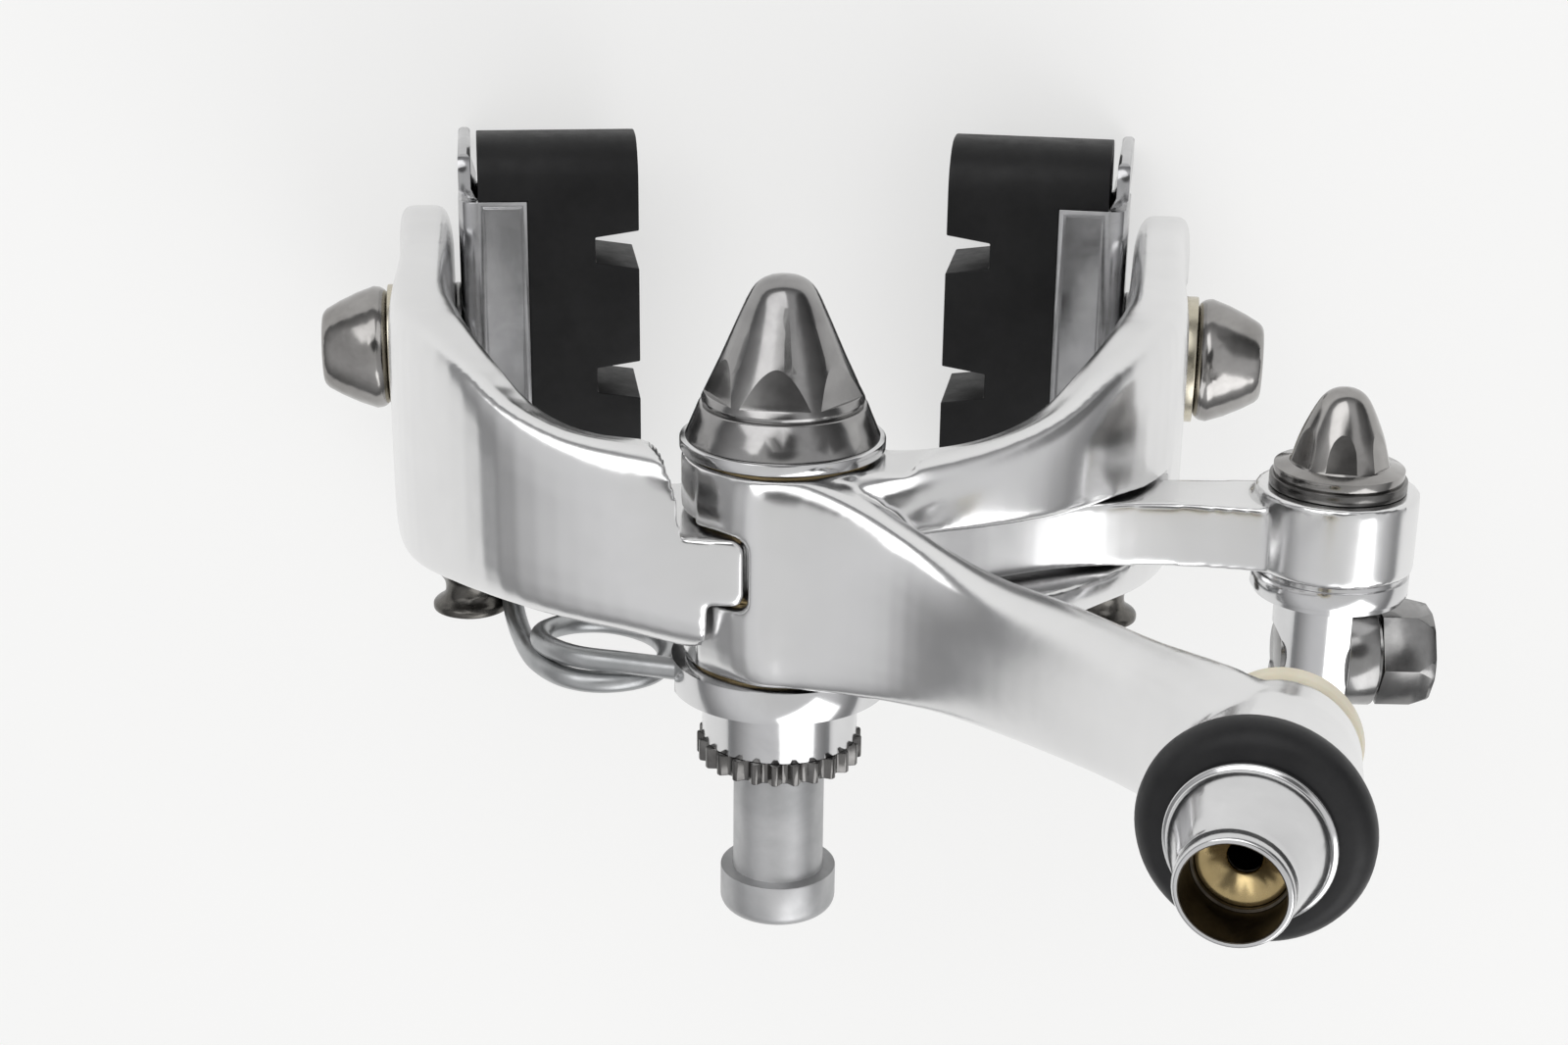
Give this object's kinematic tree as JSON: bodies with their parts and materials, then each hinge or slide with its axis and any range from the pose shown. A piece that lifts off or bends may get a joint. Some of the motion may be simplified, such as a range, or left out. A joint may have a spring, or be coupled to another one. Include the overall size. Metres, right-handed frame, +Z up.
{
  "type": "rim brake caliper",
  "caption": "Side-pull rim brake caliper: two polished arms on one centre pivot, rubber shoes, barrel adjuster and cable anchor.",
  "frame": {"origin": "on the pivot axis at the toothed washer's back face, which seats on the fork crown or rear brake bridge", "axes": "+Z up towards the barrel adjuster, -Y forward to the acorn nut, +Y into the fork or bridge, -X the side the cable comes down on"},
  "size_m": [0.1031, 0.0591, 0.115],
  "materials": {
    "arm_polished": "polished, clear",
    "spring_steel": "drawn wire, matt",
    "dark_nut": "bright plated, reads dark",
    "bolt_steel": "turned steel",
    "plated": "bright plated",
    "serrated": "dark plated, toothed edge",
    "sleeve_alloy": "matt turned",
    "bearing_bronze": "plain bearing",
    "peg_black": "blackened",
    "brass": "plain",
    "washer_brass": "pale, slightly worn",
    "grip_rubber": "matt moulded",
    "nylon": "cream, moulded",
    "shoe_rubber": "matt moulded",
    "holder_plated": "pressed sheet, plated"
  },
  "bodies": {
    "pivot_core": {"centre_bolt": "bolt_steel", "acorn_nut": "dark_nut", "dust_cap": "dark_nut", "front_washer": "plated", "shim_front": "bearing_bronze", "shim_mid_front": "bearing_bronze", "shim_mid_rear": "bearing_bronze", "shim_rear": "bearing_bronze", "pivot_sleeve": "bearing_bronze", "spring_carrier": "plated", "return_spring": "spring_steel", "serrated_washer": "serrated"},
    "frame_nut": {"sleeve_nut": "sleeve_alloy"},
    "adjuster_side": {"adjuster_arm": "arm_polished", "spring_peg_cable": "peg_black", "adjuster_stop_ring": "nylon"},
    "anchor_side": {"anchor_arm": "arm_polished", "spring_peg_far": "peg_black"},
    "anchor_swivel": {"anchor_post": "plated", "anchor_washer": "serrated", "anchor_nut": "dark_nut"},
    "clamp_plate": {"clamp_washer": "bolt_steel"},
    "clamp_screw": {"clamp_bolt": "bolt_steel"},
    "barrel": {"adjuster_barrel": "plated", "adjuster_grip": "grip_rubber"},
    "barrel_travel": {"adjuster_seat": "brass"},
    "shoe_clamp_far": {"shoe_nut_far": "plated", "shoe_washer_out_far": "washer_brass", "shoe_washer_in_far": "bolt_steel"},
    "shoe_far": {"shoe_stud_far": "bolt_steel", "shoe_holder_far": "holder_plated", "shoe_block_far": "shoe_rubber", "wheel_guide_far": "holder_plated"},
    "shoe_clamp_cable": {"shoe_nut_cable": "plated", "shoe_washer_out_cable": "washer_brass", "shoe_washer_in_cable": "bolt_steel"},
    "shoe_cable": {"shoe_stud_cable": "bolt_steel", "shoe_holder_cable": "holder_plated", "shoe_block_cable": "shoe_rubber", "wheel_guide_cable": "holder_plated"}
  },
  "joints": [
    {"name": "caliper_close", "type": "hinge", "parent": "pivot_core", "child": "adjuster_side", "pos_m": [0, -0.0209, 0], "axis": [0, -1, 0], "range_deg": [0, 9], "stiffness_Nm_per_rad": 0.9, "springref_deg": -20.05, "deforming": ["return_spring"]},
    {"name": "anchor_arm_close", "type": "hinge", "parent": "pivot_core", "child": "anchor_side", "pos_m": [0, -0.0209, 0], "axis": [0, 1, 0], "range_deg": [0, 9]},
    {"name": "anchor_turn", "type": "hinge", "parent": "anchor_side", "child": "anchor_swivel", "pos_m": [-0.0466, -0.0209, -0.0046], "axis": [0, 1, 0], "range_deg": [-25, 25]},
    {"name": "clamp_open", "type": "slide", "parent": "anchor_swivel", "child": "clamp_screw", "axis": [-1, 0, 0], "range_m": [0, 0.0025]},
    {"name": "clamp_plate_lift", "type": "slide", "parent": "anchor_swivel", "child": "clamp_plate", "axis": [-1, 0, 0], "range_m": [0, 0.0025]},
    {"name": "barrel_out", "type": "slide", "parent": "adjuster_side", "child": "barrel_travel", "axis": [0.3107, 0, 0.9505], "range_m": [0, 0.006]},
    {"name": "barrel_turn", "type": "hinge", "parent": "barrel_travel", "child": "barrel", "pos_m": [-0.03166, -0.01662, 0.04536], "axis": [0.3107, 0, 0.9505], "range_deg": [-2170, 2170]},
    {"name": "frame_nut_off", "type": "slide", "parent": "pivot_core", "child": "frame_nut", "axis": [0, 1, 0], "range_m": [0, 0.03]},
    {"name": "shoe_height_far", "type": "slide", "parent": "anchor_side", "child": "shoe_clamp_far", "axis": [-0.1461, 0, 0.9893], "range_m": [-0.0045, 0.0045]},
    {"name": "shoe_tilt_far", "type": "hinge", "parent": "shoe_clamp_far", "child": "shoe_far", "pos_m": [0.0392, -0.02302, -0.0455], "axis": [0.9893, 0, 0.1461], "range_deg": [-12, 12]},
    {"name": "shoe_height_cable", "type": "slide", "parent": "adjuster_side", "child": "shoe_clamp_cable", "axis": [0.1461, 0, 0.9893], "range_m": [-0.0045, 0.0045]},
    {"name": "shoe_tilt_cable", "type": "hinge", "parent": "shoe_clamp_cable", "child": "shoe_cable", "pos_m": [-0.0392, -0.02302, -0.0455], "axis": [-0.9893, 0, 0.1461], "range_deg": [-12, 12]}
  ],
  "couplings": [
    {"joint": "anchor_arm_close", "follows": "caliper_close", "ratio": 1},
    {"joint": "clamp_plate_lift", "follows": "clamp_open", "ratio": 1},
    {"joint": "barrel_turn", "follows": "barrel_out", "rad_per_m": 6283.2}
  ]
}
